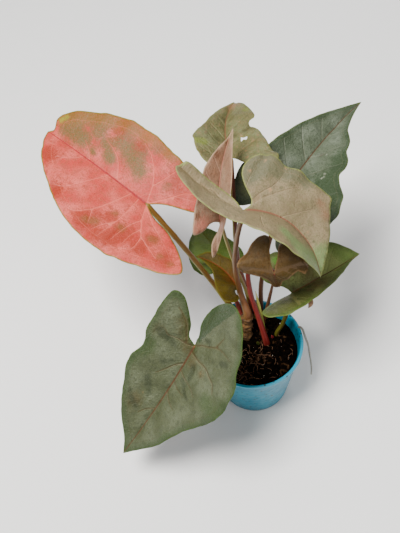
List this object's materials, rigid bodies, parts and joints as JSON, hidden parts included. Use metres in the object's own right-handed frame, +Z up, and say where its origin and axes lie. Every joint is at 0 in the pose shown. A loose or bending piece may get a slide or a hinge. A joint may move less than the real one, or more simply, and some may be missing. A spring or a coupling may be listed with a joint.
{
  "type": "potted syngonium",
  "caption": "Young syngonium with pink, taupe and dark green arrow-shaped leaves on long petioles, growing in a small tapered blue plastic nursery pot.",
  "frame": {"origin": "centre of the pot's flat underside", "axes": "+Z up along the pot's axis, +X to the right as the plant is seen in its picture, -Y towards the side it is seen from"},
  "size_m": [0.1816, 0.1679, 0.1659],
  "materials": {
    "pot": "thin blue-cyan plastic, satin, a little scuffed",
    "soil": "dark, coarse and matt",
    "bark": "tan-brown, knobby and matt",
    "petiole_brown": "brown, smooth, satin",
    "petiole_olive": "olive-brown, smooth, satin",
    "petiole_yellow": "yellow-olive, smooth, satin",
    "petiole_red": "dark crimson, smooth, satin",
    "bud_red": "red, satin",
    "shoot_green": "yellow-green, satin",
    "leaf_pink": "salmon pink with green mottling, satin",
    "leaf_front": "taupe with olive, satin",
    "leaf_young": "dusty pink with pale edges, satin",
    "leaf_top": "olive grey-green, crumpled, satin",
    "leaf_right": "dark slate green, satin",
    "leaf_low_right": "green with brown mottling, satin",
    "leaf_cupped": "brown-olive with pale edges, satin",
    "leaf_back": "mid green, satin",
    "leaf_small_left": "olive-brown, satin",
    "leaf_low_left": "grey-green slate, satin"
  },
  "bodies": {
    "root": {"pot": "pot", "soil": "soil", "main_stem": "bark", "petiole_front": "petiole_brown", "petiole_pink": "petiole_olive", "petiole_young": "petiole_yellow", "petiole_top": "petiole_red", "petiole_right": "petiole_brown", "petiole_low_right": "petiole_olive", "petiole_cupped": "petiole_red", "petiole_back": "petiole_olive", "petiole_small_left": "petiole_brown", "petiole_low_left": "petiole_red", "red_bud": "bud_red", "green_sprout": "shoot_green", "new_spear": "petiole_brown", "yellow_shoot": "shoot_green", "blade_pink": "leaf_pink", "blade_front": "leaf_front", "blade_young": "leaf_young", "blade_top": "leaf_top", "blade_right": "leaf_right", "blade_low_right": "leaf_low_right", "blade_cupped": "leaf_cupped", "blade_back": "leaf_back", "blade_small_left": "leaf_small_left", "blade_low_left": "leaf_low_left"}
  },
  "joints": []
}
